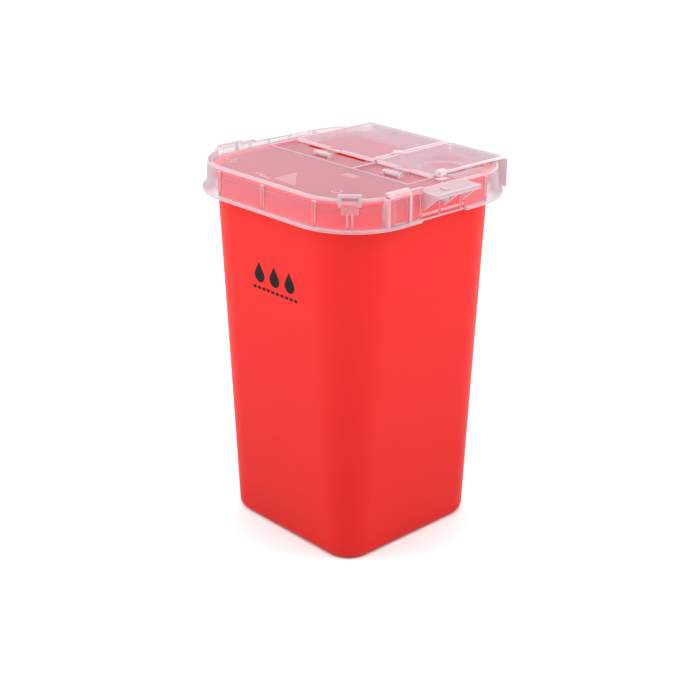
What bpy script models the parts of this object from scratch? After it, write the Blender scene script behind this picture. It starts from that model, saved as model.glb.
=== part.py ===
"""Sharps container with a press-fit lid and two flip-up flaps.

Units are metres in Blender; every dimension below is in millimetres and passes through MM.
Origin: centre of the flat underside. +Z is up, -Y is the front face, +X is the side with the thumb shelf.
"""
from math import cos, pi, radians, sin, sqrt

import bmesh
import bpy
from mathutils import Matrix, Vector

MM = 0.001

# ---- container body -------------------------------------------------------------------------------
BASE_HALF = (40.4, 39.9)        # half widths of the side walls carried down to the floor line
SKIRT_HALF = (48.4, 47.3)       # half widths level with the bottom of the lid
BASE_CORNER = 12.5
SKIRT_CORNER = 23.75
BASE_FILLET = 3.5
WALL = 1.6
FLOOR = 2.0
FLOOR_FILLET = 3.0
BEAD_OUT = 1.7                  # how far the rim bead stands out of the side wall
BEAD_BOTTOM = 159.3
RIM_TOP = 163.9
BEAD_SLOPE = 0.6                # height of the bead's lower slope, and size of its top chamfer

# ---- lid base -------------------------------------------------------------------------------------
LID_Z = 153.3                   # lowest edge of the lid; the lid's own heights count up from here
LID_HALF = (52.7, 50.9)
LID_CORNER = 26.6
DECK_TOP = 12.4
DECK_UNDER = 11.0
LID_WALL = 1.2
LID_DRAFT = 0.45
FLARE_TOP = 4.0
FLANGE_OUT = 2.4
FLANGE_THICK = 1.3
DECK_EDGE = 1.2                 # radius of the edge between deck and wall
PLAIN_BACK_X = 28.0             # half length of the plain wall behind the flaps
FLARE_BACK_X = 43.0             # the flare stops here on its way round to the back
PLAIN_SIDE_Y = (-11.0, 13.4)    # plain wall under the thumb shelf
FLARE_SIDE_Y = (-10.4, 12.8)

RIB_THICK = 1.4                 # slim upright ribs on the outside of the wall
RIB_OUT = 1.25
FRONT_RIB_X = (-27.6, 0.0, 31.3)
SIDE_RIB_Y = (-1.2, 25.9)

CHANNEL_X = (-42.1, 42.5)       # shallow channel across the deck that the hinges stand in
CHANNEL_Y = (-9.4, 7.0)
CHANNEL_FLOOR = 11.7
RIDGE_TOP = 13.1
RIDGE_WIDE = 0.9
RIDGE_BACK = 4.8                # the side ridges end here
CROSS_RIB_X = (8.9, 10.0)       # low rib across the channel between the two flaps
CROSS_RIB_TOP = 12.9

DROP_X = (-37.0, 4.75)          # large drop opening under the large flap
DROP_Y = (2.8, 34.2)
DROP_CORNER = 6.6
NOTCH_BACK = 5.4                # finger notches in front of both openings reach back to here
DROP_NOTCH_X = 8.5
PORT_NOTCH_X = (29.9, 32.9)
PORT_CENTRE = (26.8, 28.5)      # round port under the small flap
PORT_RADIUS = 9.5
COLLAR_RADIUS = 12.5
COLLAR_BOTTOM = 9.2

POST_CENTRE = (8.2, 19.6)       # snap post between the two flaps
POST_RADIUS = 3.3
POST_TOP = 14.1
POST_GAP = 0.4                  # play between the post and the notches in the flaps

TAB_Y = (-32.5, -18.0)          # box-shaped latch tabs on both sides
TAB_OUT = 54.4
TAB_INNER = 51.2
TAB_LEDGE = 50.3                # the tab's sloping top starts this far out, above the deck edge
TAB_SHOULDER = 12.8
TAB_TOP = 15.2
TAB_PANEL = (3.6, 1.8)          # margins of the recessed panel in the tab's outer face
TAB_PANEL_DEEP = 1.2

SHELF_OUT = 61.4                # thumb shelf on the +X side
SHELF_Y = (-11.2, 14.6)
SHELF_Z = (10.9, 12.3)
GUSSET_Y = (-11.2, 0.4, 11.0)
GUSSET_THICK = 1.1
GUSSET_LOW = 3.2
SLOT_X = (55.2, 58.2)           # two small slots in the shelf with a raised bar between them
SLOT_Y = (-4.7, -2.1)
SLOT_WIDE = 1.5
BAR_X = (54.6, 58.8)
BAR_Y = (-3.2, -2.1)

LOOP_OUT = (61.5, 63.6)         # staple-shaped loop, measured out along the front right diagonal
LOOP_ACROSS = (-3.7, 5.6)       # and across it
LOOP_Z = (10.6, 15.7)
LOOP_LEG = 1.2
LOOP_BAR = 1.3
TONGUE_Z = (7.3, 12.0)
CORNER_RIB_ACROSS = (-0.2, 2.2)

# ---- flaps ----------------------------------------------------------------------------------------
HINGE_Y = -2.4
HINGE_Z = 12.6
FLAP_Z = (12.75, 13.7)
FLAP_FRONT = 5.5
FLAP_BACK = 53.0
FLAP_LIP_BOTTOM = 12.1
FLAP_LIP_THICK = 1.2
LARGE_FLAP_X = (-41.7, 7.1)
SMALL_FLAP_X = (9.3, 42.1)
LARGE_LUG_X = -15.9
SMALL_LUG_X = 26.9
BACK_WALL_BOTTOM = -0.3
BACK_WALL_THICK = 1.05
SHOULDER_DEEP = 3.0             # the flap's top turns down over this depth before the back wall
SHOULDER_DROP = 1.7
EAR_TOP = 15.7
LARGE_EAR_X = (-41.7, -40.0)    # corner ears that a finger lifts the flaps by
LARGE_EAR_Y = (5.5, 11.5)
SMALL_EAR_X = (41.4, 44.2)
SMALL_EAR_Y = (7.2, 12.8)

# ---- hinges ---------------------------------------------------------------------------------------
PIN_RADIUS = 0.8
KNUCKLE_BORE = 1.1
KNUCKLE_RADIUS = 1.75
KNUCKLE_LENGTH = 7.6
KNUCKLE_GAP = 0.35
WINDOW_GAP = 0.5                # play between the knuckle and the window it turns in
CHEEK_THICK = 1.3
CHEEK_HALF = 1.7
CHEEK_TOP = 14.2

CORNER_STEPS = 12               # facets in each quarter circle of the body and lid outlines
EDGE = 0.4                      # small chamfers
PAST = 1.0                      # how far a cutting tool reaches past the face it cuts
SINK = 0.4                      # how far a joined block is sunk into the wall or plate it stands on


# ---- mesh helpers ---------------------------------------------------------------------------------
def new_object(name, mesh_builder):
    """Make an object from a bmesh whose coordinates are in millimetres."""
    bmesh.ops.recalc_face_normals(mesh_builder, faces=mesh_builder.faces)
    bmesh.ops.scale(mesh_builder, vec=(MM, MM, MM), verts=mesh_builder.verts)
    mesh = bpy.data.meshes.new(name)
    mesh_builder.to_mesh(mesh)
    mesh_builder.free()
    obj = bpy.data.objects.new(name, mesh)
    bpy.context.scene.collection.objects.link(obj)
    return obj


def rounded_ring(half_x, half_y, radius, z, centre=(0.0, 0.0)):
    """Points of a rounded rectangle, anticlockwise seen from above."""
    points = []
    for corner, (sx, sy) in enumerate(((1, 1), (-1, 1), (-1, -1), (1, -1))):
        for step in range(CORNER_STEPS + 1):
            angle = (corner + step / CORNER_STEPS) * pi / 2
            x = centre[0] + sx * (half_x - radius) + radius * cos(angle)
            y = centre[1] + sy * (half_y - radius) + radius * sin(angle)
            points.append(Vector((x, y, z)))
    return points


def loft(name, rings):
    """Closed solid through a run of rings that have the same number of points."""
    builder = bmesh.new()
    loops = [[builder.verts.new(point) for point in ring] for ring in rings]
    count = len(loops[0])
    for lower, upper in zip(loops, loops[1:]):
        for i in range(count):
            j = (i + 1) % count
            builder.faces.new((lower[i], lower[j], upper[j], upper[i]))
    builder.faces.new(loops[0])
    builder.faces.new(loops[-1])
    return new_object(name, builder)


def box(x_range, y_range, z_range):
    """Plain block, used as a tool for joining or cutting."""
    rings = []
    for z in z_range:
        corners = ((0, 0), (1, 0), (1, 1), (0, 1))
        rings.append([Vector((x_range[i], y_range[j], z)) for i, j in corners])
    return loft("tool_box", rings)


def prism(outline, low, high, axis):
    """Extrude an outline of (a, b) points along an axis: X takes (y, z), Y takes (x, z)."""
    rings = []
    for level in (low, high):
        if axis == "X":
            rings.append([Vector((level, a, b)) for a, b in outline])
        else:
            rings.append([Vector((a, level, b)) for a, b in outline])
    return loft("tool_prism", rings)


def disc(centre, radius, z_range, steps=32):
    """Upright cylinder."""
    rings = []
    for z in z_range:
        turn = [2 * pi * i / steps for i in range(steps)]
        rings.append([Vector((centre[0] + radius * cos(a), centre[1] + radius * sin(a), z)) for a in turn])
    return loft("tool_disc", rings)


def rod(x_range, y, z, radius, steps=20):
    """Cylinder lying along X."""
    rings = []
    for x in x_range:
        turn = [2 * pi * i / steps for i in range(steps)]
        rings.append([Vector((x, y + radius * cos(a), z + radius * sin(a))) for a in turn])
    return loft("tool_rod", rings)


def combine(target, tool, operation):
    """Apply one Boolean to the target and drop the tool."""
    modifier = target.modifiers.new(operation.lower(), "BOOLEAN")
    modifier.operation = operation
    modifier.solver = "EXACT"
    modifier.object = tool
    evaluated = target.evaluated_get(bpy.context.evaluated_depsgraph_get())
    result = bpy.data.meshes.new_from_object(evaluated)
    target.modifiers.clear()
    old = target.data
    target.data = result
    bpy.data.meshes.remove(old)
    spare = tool.data
    bpy.data.objects.remove(tool, do_unlink=True)
    bpy.data.meshes.remove(spare)


def add(target, tool):
    combine(target, tool, "UNION")


def cut(target, tool):
    combine(target, tool, "DIFFERENCE")


def finish(obj, name, pivot, material):
    """Name the solid, move its origin to the pivot, shade it and give it its material."""
    shift = Vector(pivot) * MM
    obj.data.transform(Matrix.Translation(-shift))
    obj.location = shift
    obj.name = name
    obj.data.name = name
    obj.data.materials.clear()
    obj.data.materials.append(material)
    obj.data.shade_smooth()
    obj.data.set_sharp_from_angle(angle=radians(30))
    return obj


def plastic(name, colour, roughness, alpha=1.0):
    """Moulded plastic as a Principled BSDF."""
    material = bpy.data.materials.new(name)
    material.use_nodes = True
    shader = material.node_tree.nodes["Principled BSDF"]
    shader.inputs["Base Color"].default_value = (*colour, 1.0)
    shader.inputs["Roughness"].default_value = roughness
    shader.inputs["Metallic"].default_value = 0.0
    shader.inputs["Alpha"].default_value = alpha
    return material


# ---- container body -------------------------------------------------------------------------------
def body_ring(z, offset):
    """Body outline at a height, moved in or out of the tapered side walls."""
    share = z / LID_Z
    half_x = BASE_HALF[0] + (SKIRT_HALF[0] - BASE_HALF[0]) * share + offset
    half_y = BASE_HALF[1] + (SKIRT_HALF[1] - BASE_HALF[1]) * share + offset
    corner = BASE_CORNER + (SKIRT_CORNER - BASE_CORNER) * share + offset
    return rounded_ring(half_x, half_y, max(corner, 1.0), z)


def container_body():
    """Tapered tub: rounded foot, plain walls and a bead round the rim."""
    rings = []
    for step in range(5):
        angle = step * pi / 8
        rings.append(body_ring(BASE_FILLET * (1 - cos(angle)), -BASE_FILLET * (1 - sin(angle))))
    rings.append(body_ring(BEAD_BOTTOM - BEAD_SLOPE, 0.0))
    rings.append(body_ring(BEAD_BOTTOM, BEAD_OUT - EDGE))
    rings.append(body_ring(BEAD_BOTTOM + EDGE, BEAD_OUT))
    rings.append(body_ring(RIM_TOP - BEAD_SLOPE, BEAD_OUT))
    rings.append(body_ring(RIM_TOP, BEAD_OUT - BEAD_SLOPE))
    rings.append(body_ring(RIM_TOP, EDGE - WALL))
    rings.append(body_ring(RIM_TOP - EDGE, -WALL))
    for step in range(4):
        angle = step * pi / 6
        inset = WALL + FLOOR_FILLET * (1 - cos(angle))
        rings.append(body_ring(FLOOR + FLOOR_FILLET * (1 - sin(angle)), -inset))
    return loft("body", rings)


# ---- lid base -------------------------------------------------------------------------------------
def lid_ring(height, offset):
    """Lid outline at a height above the lid's lowest edge, moved in or out of its wall."""
    return rounded_ring(LID_HALF[0] + offset, LID_HALF[1] + offset, LID_CORNER + offset, LID_Z + height)


def up(*heights):
    """World heights of levels given above the lid's lowest edge."""
    return tuple(LID_Z + height for height in heights)


def lid_shell():
    """Deck, drafted wall and flared bottom edge, open underneath."""
    rings = []
    for step in range(4):
        angle = step * pi / 6
        rings.append(lid_ring(DECK_TOP - DECK_EDGE * (1 - cos(angle)), -DECK_EDGE * (1 - sin(angle))))
    flare_mid = (FLARE_TOP + FLANGE_THICK) / 2
    rings.append(lid_ring(FLARE_TOP, LID_DRAFT))
    rings.append(lid_ring(flare_mid, LID_DRAFT + (FLANGE_OUT - LID_DRAFT) / 3))
    rings.append(lid_ring(FLANGE_THICK, FLANGE_OUT - EDGE / 4))
    rings.append(lid_ring(FLANGE_THICK - EDGE, FLANGE_OUT))
    rings.append(lid_ring(0.0, FLANGE_OUT))
    rings.append(lid_ring(0.0, FLANGE_OUT - LID_WALL))
    rings.append(lid_ring(FLARE_TOP - EDGE, LID_DRAFT - LID_WALL))
    rings.append(lid_ring(DECK_UNDER - EDGE, -LID_WALL))
    rings.append(lid_ring(DECK_UNDER, -EDGE - LID_WALL))
    return loft("lid", rings)


def straighten_skirt(lid):
    """Take the flare off behind the flaps and under the thumb shelf, leaving a plain wall there."""
    back = LID_HALF[1] + LID_DRAFT + 0.1
    side = LID_HALF[0] + LID_DRAFT + 0.1
    past = 2 * FLANGE_OUT
    cut(lid, box((-FLARE_BACK_X, FLARE_BACK_X), (back, back + past), up(-PAST, FLARE_TOP + PAST)))
    add(lid, box((-PLAIN_BACK_X, PLAIN_BACK_X), (back - LID_WALL, back), up(0.0, FLARE_TOP + PAST)))
    cut(lid, box((side, side + past), FLARE_SIDE_Y, up(-PAST, FLARE_TOP)))
    add(lid, box((side - LID_WALL, side), PLAIN_SIDE_Y, up(0.0, FLARE_TOP + PAST)))


def wall_ribs(lid):
    """Slim upright ribs on the outside of the wall."""
    half = RIB_THICK / 2
    levels = up(FLANGE_THICK - EDGE, DECK_TOP - EDGE)
    for x in FRONT_RIB_X:
        drop = LID_CORNER - sqrt(LID_CORNER ** 2 - max(0.0, abs(x) - (LID_HALF[0] - LID_CORNER)) ** 2)
        y = LID_HALF[1] - drop
        add(lid, box((x - half, x + half), (-y - RIB_OUT, -y + SINK), levels))
    for y in SIDE_RIB_Y:
        x = LID_HALF[0]
        add(lid, box((x - SINK, x + RIB_OUT), (y - half, y + half), levels))
        add(lid, box((-x - RIB_OUT, -x + SINK), (y - half, y + half), levels))


def latch_tabs(lid):
    """Box-shaped tab with a sloping top on each side, with one recessed panel in its outer face."""
    foot, step, shoulder, top = up(EDGE / 2, DECK_UNDER + EDGE, TAB_SHOULDER, TAB_TOP)
    outline = (
        (TAB_INNER, foot),
        (TAB_OUT, foot),
        (TAB_OUT, shoulder),
        (TAB_LEDGE + 1.8, top),
        (TAB_LEDGE, top),
        (TAB_LEDGE, step),
        (TAB_INNER, step),
    )
    panel = (TAB_Y[0] + TAB_PANEL[0], TAB_Y[1] - TAB_PANEL[1])
    for side in (1, -1):
        add(lid, prism([(side * x, z) for x, z in outline], TAB_Y[0], TAB_Y[1], "Y"))
        face = sorted((side * (TAB_OUT - TAB_PANEL_DEEP), side * (TAB_OUT + PAST)))
        cut(lid, box(face, panel, up(TAB_PANEL[1], TAB_SHOULDER - PAST)))


def thumb_shelf(lid):
    """Shelf level with the deck, carried by three gussets, with a pair of small slots at its root."""
    root = LID_HALF[0] - 2 * SINK
    add(lid, box((root, SHELF_OUT), SHELF_Y, up(*SHELF_Z)))
    low, tip, top = up(GUSSET_LOW, SHELF_Z[0] - SINK, SHELF_Z[0] + SINK)
    end = SHELF_OUT - SINK
    outline = ((root, low), (end, tip), (end, top), (root, top))
    for y in GUSSET_Y:
        add(lid, prism(outline, y, y + GUSSET_THICK, "Y"))
    for y in SLOT_Y:
        cut(lid, box(SLOT_X, (y, y + SLOT_WIDE), up(SHELF_Z[0] - PAST, SHELF_Z[1] + PAST)))
    add(lid, box(BAR_X, BAR_Y, up(SHELF_Z[0] - PAST, SHELF_Z[1] + EDGE)))


def corner_block(along, across, heights):
    """Block placed on the front right corner: along runs out of the corner, across runs past it."""
    tool = box(along, across, heights)
    tool.data.transform(Matrix.Rotation(-pi / 4, 4, "Z"))
    return tool


def corner_loop(lid):
    """Staple-shaped loop standing on the front right corner, with a tongue and a rib under it."""
    wall, out = LOOP_OUT
    left, right = LOOP_ACROSS
    inside = (left + LOOP_LEG / 2, right - LOOP_LEG / 2)
    sill = (DECK_TOP - 2 * SINK, DECK_TOP + 2 * SINK)
    add(lid, corner_block((wall, out), (left, left + LOOP_LEG), up(*LOOP_Z)))
    add(lid, corner_block((wall, out), (right - LOOP_LEG, right), up(*LOOP_Z)))
    add(lid, corner_block((out - LOOP_BAR, out), LOOP_ACROSS, up(LOOP_Z[1] - LOOP_BAR, LOOP_Z[1])))
    add(lid, corner_block((wall - 2 * SINK, out - SINK), inside, up(*sill)))
    add(lid, corner_block((wall, out - 2 * SINK), inside, up(*TONGUE_Z)))
    rib_z = up(FLANGE_THICK - EDGE, TONGUE_Z[0] + SINK)
    add(lid, corner_block((wall, out - SINK / 2), CORNER_RIB_ACROSS, rib_z))


def deck_features(lid):
    """Channel, ridges, openings, port collar and the snap post on the deck."""
    cut(lid, box(CHANNEL_X, CHANNEL_Y, up(CHANNEL_FLOOR, DECK_TOP + PAST)))
    low, high = up(DECK_TOP - SINK, RIDGE_TOP)
    front = CHANNEL_Y[0] - RIDGE_WIDE
    ridge_x = (CHANNEL_X[0] - RIDGE_WIDE, CHANNEL_X[1] + RIDGE_WIDE)
    add(lid, box(ridge_x, (front, CHANNEL_Y[0]), (low, high)))
    for x in (CHANNEL_X[0] - RIDGE_WIDE, CHANNEL_X[1]):
        add(lid, box((x, x + RIDGE_WIDE), (front, RIDGE_BACK), (low, high)))
    cross_y = (CHANNEL_Y[0] - RIDGE_WIDE / 2, RIDGE_BACK)
    add(lid, box(CROSS_RIB_X, cross_y, up(CHANNEL_FLOOR - SINK, CROSS_RIB_TOP)))

    add(lid, disc(PORT_CENTRE, COLLAR_RADIUS, up(COLLAR_BOTTOM, DECK_UNDER + SINK), 48))
    cut(lid, disc(PORT_CENTRE, PORT_RADIUS, up(COLLAR_BOTTOM - PAST, DECK_TOP + PAST), 48))
    half_x = (DROP_X[1] - DROP_X[0]) / 2
    half_y = (DROP_Y[1] - DROP_Y[0]) / 2
    centre = (DROP_X[0] + half_x, DROP_Y[0] + half_y)
    levels = up(DECK_UNDER - PAST, DECK_TOP + PAST)
    cut(lid, loft("tool_drop", [rounded_ring(half_x, half_y, DROP_CORNER, z, centre) for z in levels]))
    cut(lid, box((DROP_X[0], DROP_NOTCH_X), (DROP_Y[0], NOTCH_BACK), levels))
    cut(lid, box(PORT_NOTCH_X, (DROP_Y[0], NOTCH_BACK), levels))

    add(lid, disc(POST_CENTRE, POST_RADIUS, up(DECK_TOP - SINK, POST_TOP - EDGE)))
    add(lid, disc(POST_CENTRE, POST_RADIUS - 2 * EDGE, up(POST_TOP - 2 * EDGE, POST_TOP)))


def hinge_seat(lid, lug_x):
    """Window in the channel floor with two cheeks and the moulded pin that the flap turns on."""
    half = KNUCKLE_LENGTH / 2 + KNUCKLE_GAP
    reach_y = KNUCKLE_RADIUS + WINDOW_GAP
    window_y = (HINGE_Y - reach_y, HINGE_Y + reach_y)
    cut(lid, box((lug_x - half, lug_x + half), window_y, up(DECK_UNDER - PAST, CHANNEL_FLOOR + PAST)))
    for side in (-1, 1):
        inner = lug_x + side * half
        cheek = sorted((inner, inner + side * CHEEK_THICK))
        foot = CHANNEL_FLOOR - SINK
        add(lid, box(cheek, (HINGE_Y - CHEEK_HALF, HINGE_Y + CHEEK_HALF), up(foot, HINGE_Z)))
        add(lid, rod(cheek, HINGE_Y, LID_Z + HINGE_Z, CHEEK_TOP - HINGE_Z))
    reach = half + CHEEK_THICK / 2
    add(lid, rod((lug_x - reach, lug_x + reach), HINGE_Y, LID_Z + HINGE_Z, PIN_RADIUS))


def lid_base():
    lid = lid_shell()
    straighten_skirt(lid)
    wall_ribs(lid)
    latch_tabs(lid)
    thumb_shelf(lid)
    corner_loop(lid)
    deck_features(lid)
    for lug_x in (LARGE_LUG_X, SMALL_LUG_X):
        hinge_seat(lid, lug_x)
    return lid


# ---- flaps ----------------------------------------------------------------------------------------
def flap_outline():
    """Side view of a flap as (y, z): top plate, rounded shoulder, back wall and front lip."""
    under, top = up(*FLAP_Z)
    shoulder = FLAP_BACK - SHOULDER_DEEP
    outer = []
    inner = []
    for step in range(5):
        angle = step * pi / 8
        outer.append((shoulder + SHOULDER_DEEP * sin(angle), top - SHOULDER_DROP * (1 - cos(angle))))
        deep = SHOULDER_DEEP - BACK_WALL_THICK
        inner.append((shoulder + deep * sin(angle), under - (SHOULDER_DROP - EDGE) * (1 - cos(angle))))
    bottom = LID_Z + BACK_WALL_BOTTOM
    lip = LID_Z + FLAP_LIP_BOTTOM
    front = [(FLAP_FRONT + FLAP_LIP_THICK, under), (FLAP_FRONT + FLAP_LIP_THICK, lip), (FLAP_FRONT, lip)]
    back = [(FLAP_BACK, bottom), (FLAP_BACK - BACK_WALL_THICK, bottom)]
    return front + [(FLAP_FRONT, top)] + outer + back + inner[::-1]


def flap(x_range, lug_x, ear_x, ear_y):
    """One flap: plate with its back wall, hinge arm and knuckle, corner ear and post notch."""
    under, top = up(*FLAP_Z)
    axis_z = LID_Z + HINGE_Z
    half = KNUCKLE_LENGTH / 2
    lug = (lug_x - half, lug_x + half)
    leaf = prism(flap_outline(), x_range[0], x_range[1], "X")
    add(leaf, box(lug, (HINGE_Y + SINK, FLAP_FRONT + PAST), (under, top)))
    add(leaf, rod(lug, HINGE_Y, axis_z, KNUCKLE_RADIUS))
    cut(leaf, rod((lug[0] - PAST, lug[1] + PAST), HINGE_Y, axis_z, KNUCKLE_BORE))
    cut(leaf, disc(POST_CENTRE, POST_RADIUS + POST_GAP, (under - PAST, top + PAST)))
    add(leaf, box(ear_x, ear_y, (under, LID_Z + EAR_TOP)))
    return leaf


def build():
    for obj in list(bpy.data.objects):
        bpy.data.objects.remove(obj, do_unlink=True)
    red = plastic("red_polypropylene", (0.85, 0.055, 0.045), 0.42)
    clear = plastic("translucent_polypropylene", (0.86, 0.80, 0.82), 0.30, 0.5)
    flap_clear = plastic("translucent_flap", (0.88, 0.82, 0.84), 0.28, 0.5)
    small_clear = plastic("translucent_small_flap", (0.88, 0.82, 0.84), 0.28, 0.5)

    finish(container_body(), "container_body", (0.0, 0.0, 0.0), red)
    finish(lid_base(), "lid_base", (0.0, 0.0, LID_Z), clear)
    pivot_z = LID_Z + HINGE_Z
    large = flap(LARGE_FLAP_X, LARGE_LUG_X, LARGE_EAR_X, LARGE_EAR_Y)
    finish(large, "large_flap", (LARGE_LUG_X, HINGE_Y, pivot_z), flap_clear)
    small = flap(SMALL_FLAP_X, SMALL_LUG_X, SMALL_EAR_X, SMALL_EAR_Y)
    finish(small, "small_flap", (SMALL_LUG_X, HINGE_Y, pivot_z), small_clear)


build()
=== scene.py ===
from math import cos, pi, radians, sin, sqrt

import bmesh
import bpy
from mathutils import Matrix, Vector


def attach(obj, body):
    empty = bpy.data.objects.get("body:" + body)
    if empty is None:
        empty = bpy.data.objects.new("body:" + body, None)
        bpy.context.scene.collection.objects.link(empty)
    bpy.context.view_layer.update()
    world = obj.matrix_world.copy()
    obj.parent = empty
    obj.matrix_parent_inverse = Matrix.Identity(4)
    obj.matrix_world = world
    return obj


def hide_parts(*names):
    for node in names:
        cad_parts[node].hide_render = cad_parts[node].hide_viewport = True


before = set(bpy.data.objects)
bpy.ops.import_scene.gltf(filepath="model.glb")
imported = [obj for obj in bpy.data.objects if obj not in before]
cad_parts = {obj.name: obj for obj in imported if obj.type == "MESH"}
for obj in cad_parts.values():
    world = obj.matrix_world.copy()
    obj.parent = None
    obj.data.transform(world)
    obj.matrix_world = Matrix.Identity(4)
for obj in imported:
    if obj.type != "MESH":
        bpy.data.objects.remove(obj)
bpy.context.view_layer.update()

MM = 0.001
LID_Z = 153.3                   # height of the lid's lowest edge
CORNER_STEPS = 20
ROD_ROUND = 0.25
ROD_STEPS = 24
SMOOTH_ANGLE = 32               # degrees

# Material places on the translucent mouldings. The tub uses the first four: wall, rim, inside and collar.
PLATE = 0
THIN = 1
BAND = 2
# edges take a paler, denser finish: partly the plastic seen edge on, partly painted highlight
EDGE = 3
# glossy knobs and tops take a pale colour that is partly painted highlight
GLOSS = 4
BROAD = 5                       # the lid's deck, or a flap's back wall
FROST = 6                       # raised pads, and the soft stretches of the lid's rim
PLACES = ("plate", "thin", "band", "edge", "gloss", "broad", "frost")


# ---- mesh helpers ---------------------------------------------------------------------------------
def link_mesh(name, builder):
    """Object with an empty material for each place, so that Booleans keep the places apart."""
    mesh = bpy.data.meshes.new(name)
    builder.to_mesh(mesh)
    builder.free()
    for place in PLACES:
        mesh.materials.append(bpy.data.materials.get(place) or bpy.data.materials.new(place))
    obj = bpy.data.objects.new(name, mesh)
    bpy.context.scene.collection.objects.link(obj)
    return obj


def new_object(name, builder):
    """Object from a bmesh in millimetres, normals facing out."""
    bmesh.ops.recalc_face_normals(builder, faces=builder.faces)
    return link_mesh(name, builder)


def quarter(steps, first=0):
    """Angles of a quarter turn in equal steps, from step first on."""
    return [step * pi / (2 * steps) for step in range(first, steps + 1)]


def rounded_ring(half_x, half_y, radius, z, centre=(0.0, 0.0), steps=CORNER_STEPS):
    """Points of a rounded rectangle, anticlockwise seen from above."""
    points = []
    for corner, (sx, sy) in enumerate(((1, 1), (-1, 1), (-1, -1), (1, -1))):
        for step in range(steps + 1):
            angle = (corner + step / steps) * pi / 2
            x = centre[0] + sx * (half_x - radius) + radius * cos(angle)
            y = centre[1] + sy * (half_y - radius) + radius * sin(angle)
            points.append(Vector((x, y, z)))
    return points


def circle(centre, radius, z, steps):
    """Points of a level circle."""
    turn = [2 * pi * i / steps for i in range(steps)]
    return [Vector((centre[0] + radius * cos(a), centre[1] + radius * sin(a), z)) for a in turn]


def loft(rings, bands=PLATE, caps=(PLATE, PLATE)):
    """Closed solid through rings with the same number of points.

    bands is one place for every run of faces, or a list with one place for each run.
    """
    builder = bmesh.new()
    loops = [[builder.verts.new(point) for point in ring] for ring in rings]
    count = len(loops[0])
    for band, (lower, upper) in enumerate(zip(loops, loops[1:])):
        index = bands if isinstance(bands, int) else bands[band]
        for i in range(count):
            j = (i + 1) % count
            builder.faces.new((lower[i], lower[j], upper[j], upper[i])).material_index = index
    builder.faces.new(loops[0]).material_index = caps[0]
    builder.faces.new(loops[-1]).material_index = caps[1]
    return new_object("tool", builder)


def bevelled(builder, width, rim, steps):
    """Round every edge of a small solid; the rounding gets the rim material."""
    if width > 0:
        bmesh.ops.bevel(
            builder,
            geom=builder.edges[:],
            offset=width,
            offset_type="OFFSET",
            segments=steps,
            profile=0.5,
            affect="EDGES",
            clamp_overlap=True,
            material=rim,
        )


def prism(outline, low, high, axis, face=PLATE, rim=EDGE, edge=0.2, steps=2):
    """Extruded outline with rounded edges. X takes (y, z), Y takes (x, z) and Z takes (x, y) points."""
    place = {
        "X": lambda level, a, b: (level, a, b),
        "Y": lambda level, a, b: (a, level, b),
        "Z": lambda level, a, b: (a, b, level),
    }[axis]
    builder = bmesh.new()
    ends = [[builder.verts.new(place(level, a, b)) for a, b in outline] for level in (low, high)]
    count = len(outline)
    for i in range(count):
        j = (i + 1) % count
        builder.faces.new((ends[0][i], ends[0][j], ends[1][j], ends[1][i]))
    builder.faces.new(ends[0])
    builder.faces.new(ends[1])
    bmesh.ops.recalc_face_normals(builder, faces=builder.faces)
    for polygon in builder.faces:
        polygon.material_index = face
    bevelled(builder, edge, rim, steps)
    return new_object("tool", builder)


def block(x, y, z, face=PLATE, rim=EDGE, edge=0.2, steps=2):
    """Block with rounded edges."""
    outline = ((x[0], y[0]), (x[1], y[0]), (x[1], y[1]), (x[0], y[1]))
    return prism(outline, z[0], z[1], "Z", face, rim, edge, steps)


def rod(x, y, z, radius, face=GLOSS):
    """Cylinder along X with rounded ends."""
    turn = [2 * pi * i / ROD_STEPS for i in range(ROD_STEPS)]
    ends = ((x[0], ROD_ROUND), (x[0] + ROD_ROUND, 0.0), (x[1] - ROD_ROUND, 0.0), (x[1], ROD_ROUND))
    rings = []
    for end, inset in ends:
        reach = radius - inset
        rings.append([Vector((end, y + reach * cos(a), z + reach * sin(a))) for a in turn])
    return loft(rings, face, (face, face))


def drum(centre, profile, bands, caps, steps=40):
    """Upright turned solid from (radius, height) steps."""
    return loft([circle(centre, radius, z, steps) for radius, z in profile], bands, caps)


def mirrored(side, near, far):
    """(low, high) of a range from near to far on one side of the middle."""
    return sorted((side * near, side * far))


def turned(tool, degrees):
    """Turn a tool about the Z axis."""
    tool.data.transform(Matrix.Rotation(radians(degrees), 4, "Z"))
    return tool


def discard(tool):
    """Remove a tool and its mesh."""
    mesh = tool.data
    bpy.data.objects.remove(tool, do_unlink=True)
    bpy.data.meshes.remove(mesh)


def combine(target, tool, operation):
    """One exact Boolean; face materials keep their places."""
    modifier = target.modifiers.new(operation.lower(), "BOOLEAN")
    modifier.operation = operation
    modifier.solver = "EXACT"
    modifier.object = tool
    evaluated = target.evaluated_get(bpy.context.evaluated_depsgraph_get())
    result = bpy.data.meshes.new_from_object(evaluated)
    target.modifiers.clear()
    old = target.data
    target.data = result
    bpy.data.meshes.remove(old)
    discard(tool)


def add(target, tool):
    """Join a tool to the target."""
    combine(target, tool, "UNION")


def cut(target, tool):
    """Take a tool out of the target."""
    combine(target, tool, "DIFFERENCE")


def joined(tools):
    """Several tools that don't touch each other as one object."""
    builder = bmesh.new()
    for tool in tools:
        builder.from_mesh(tool.data)
        discard(tool)
    return link_mesh("tools", builder)


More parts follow.
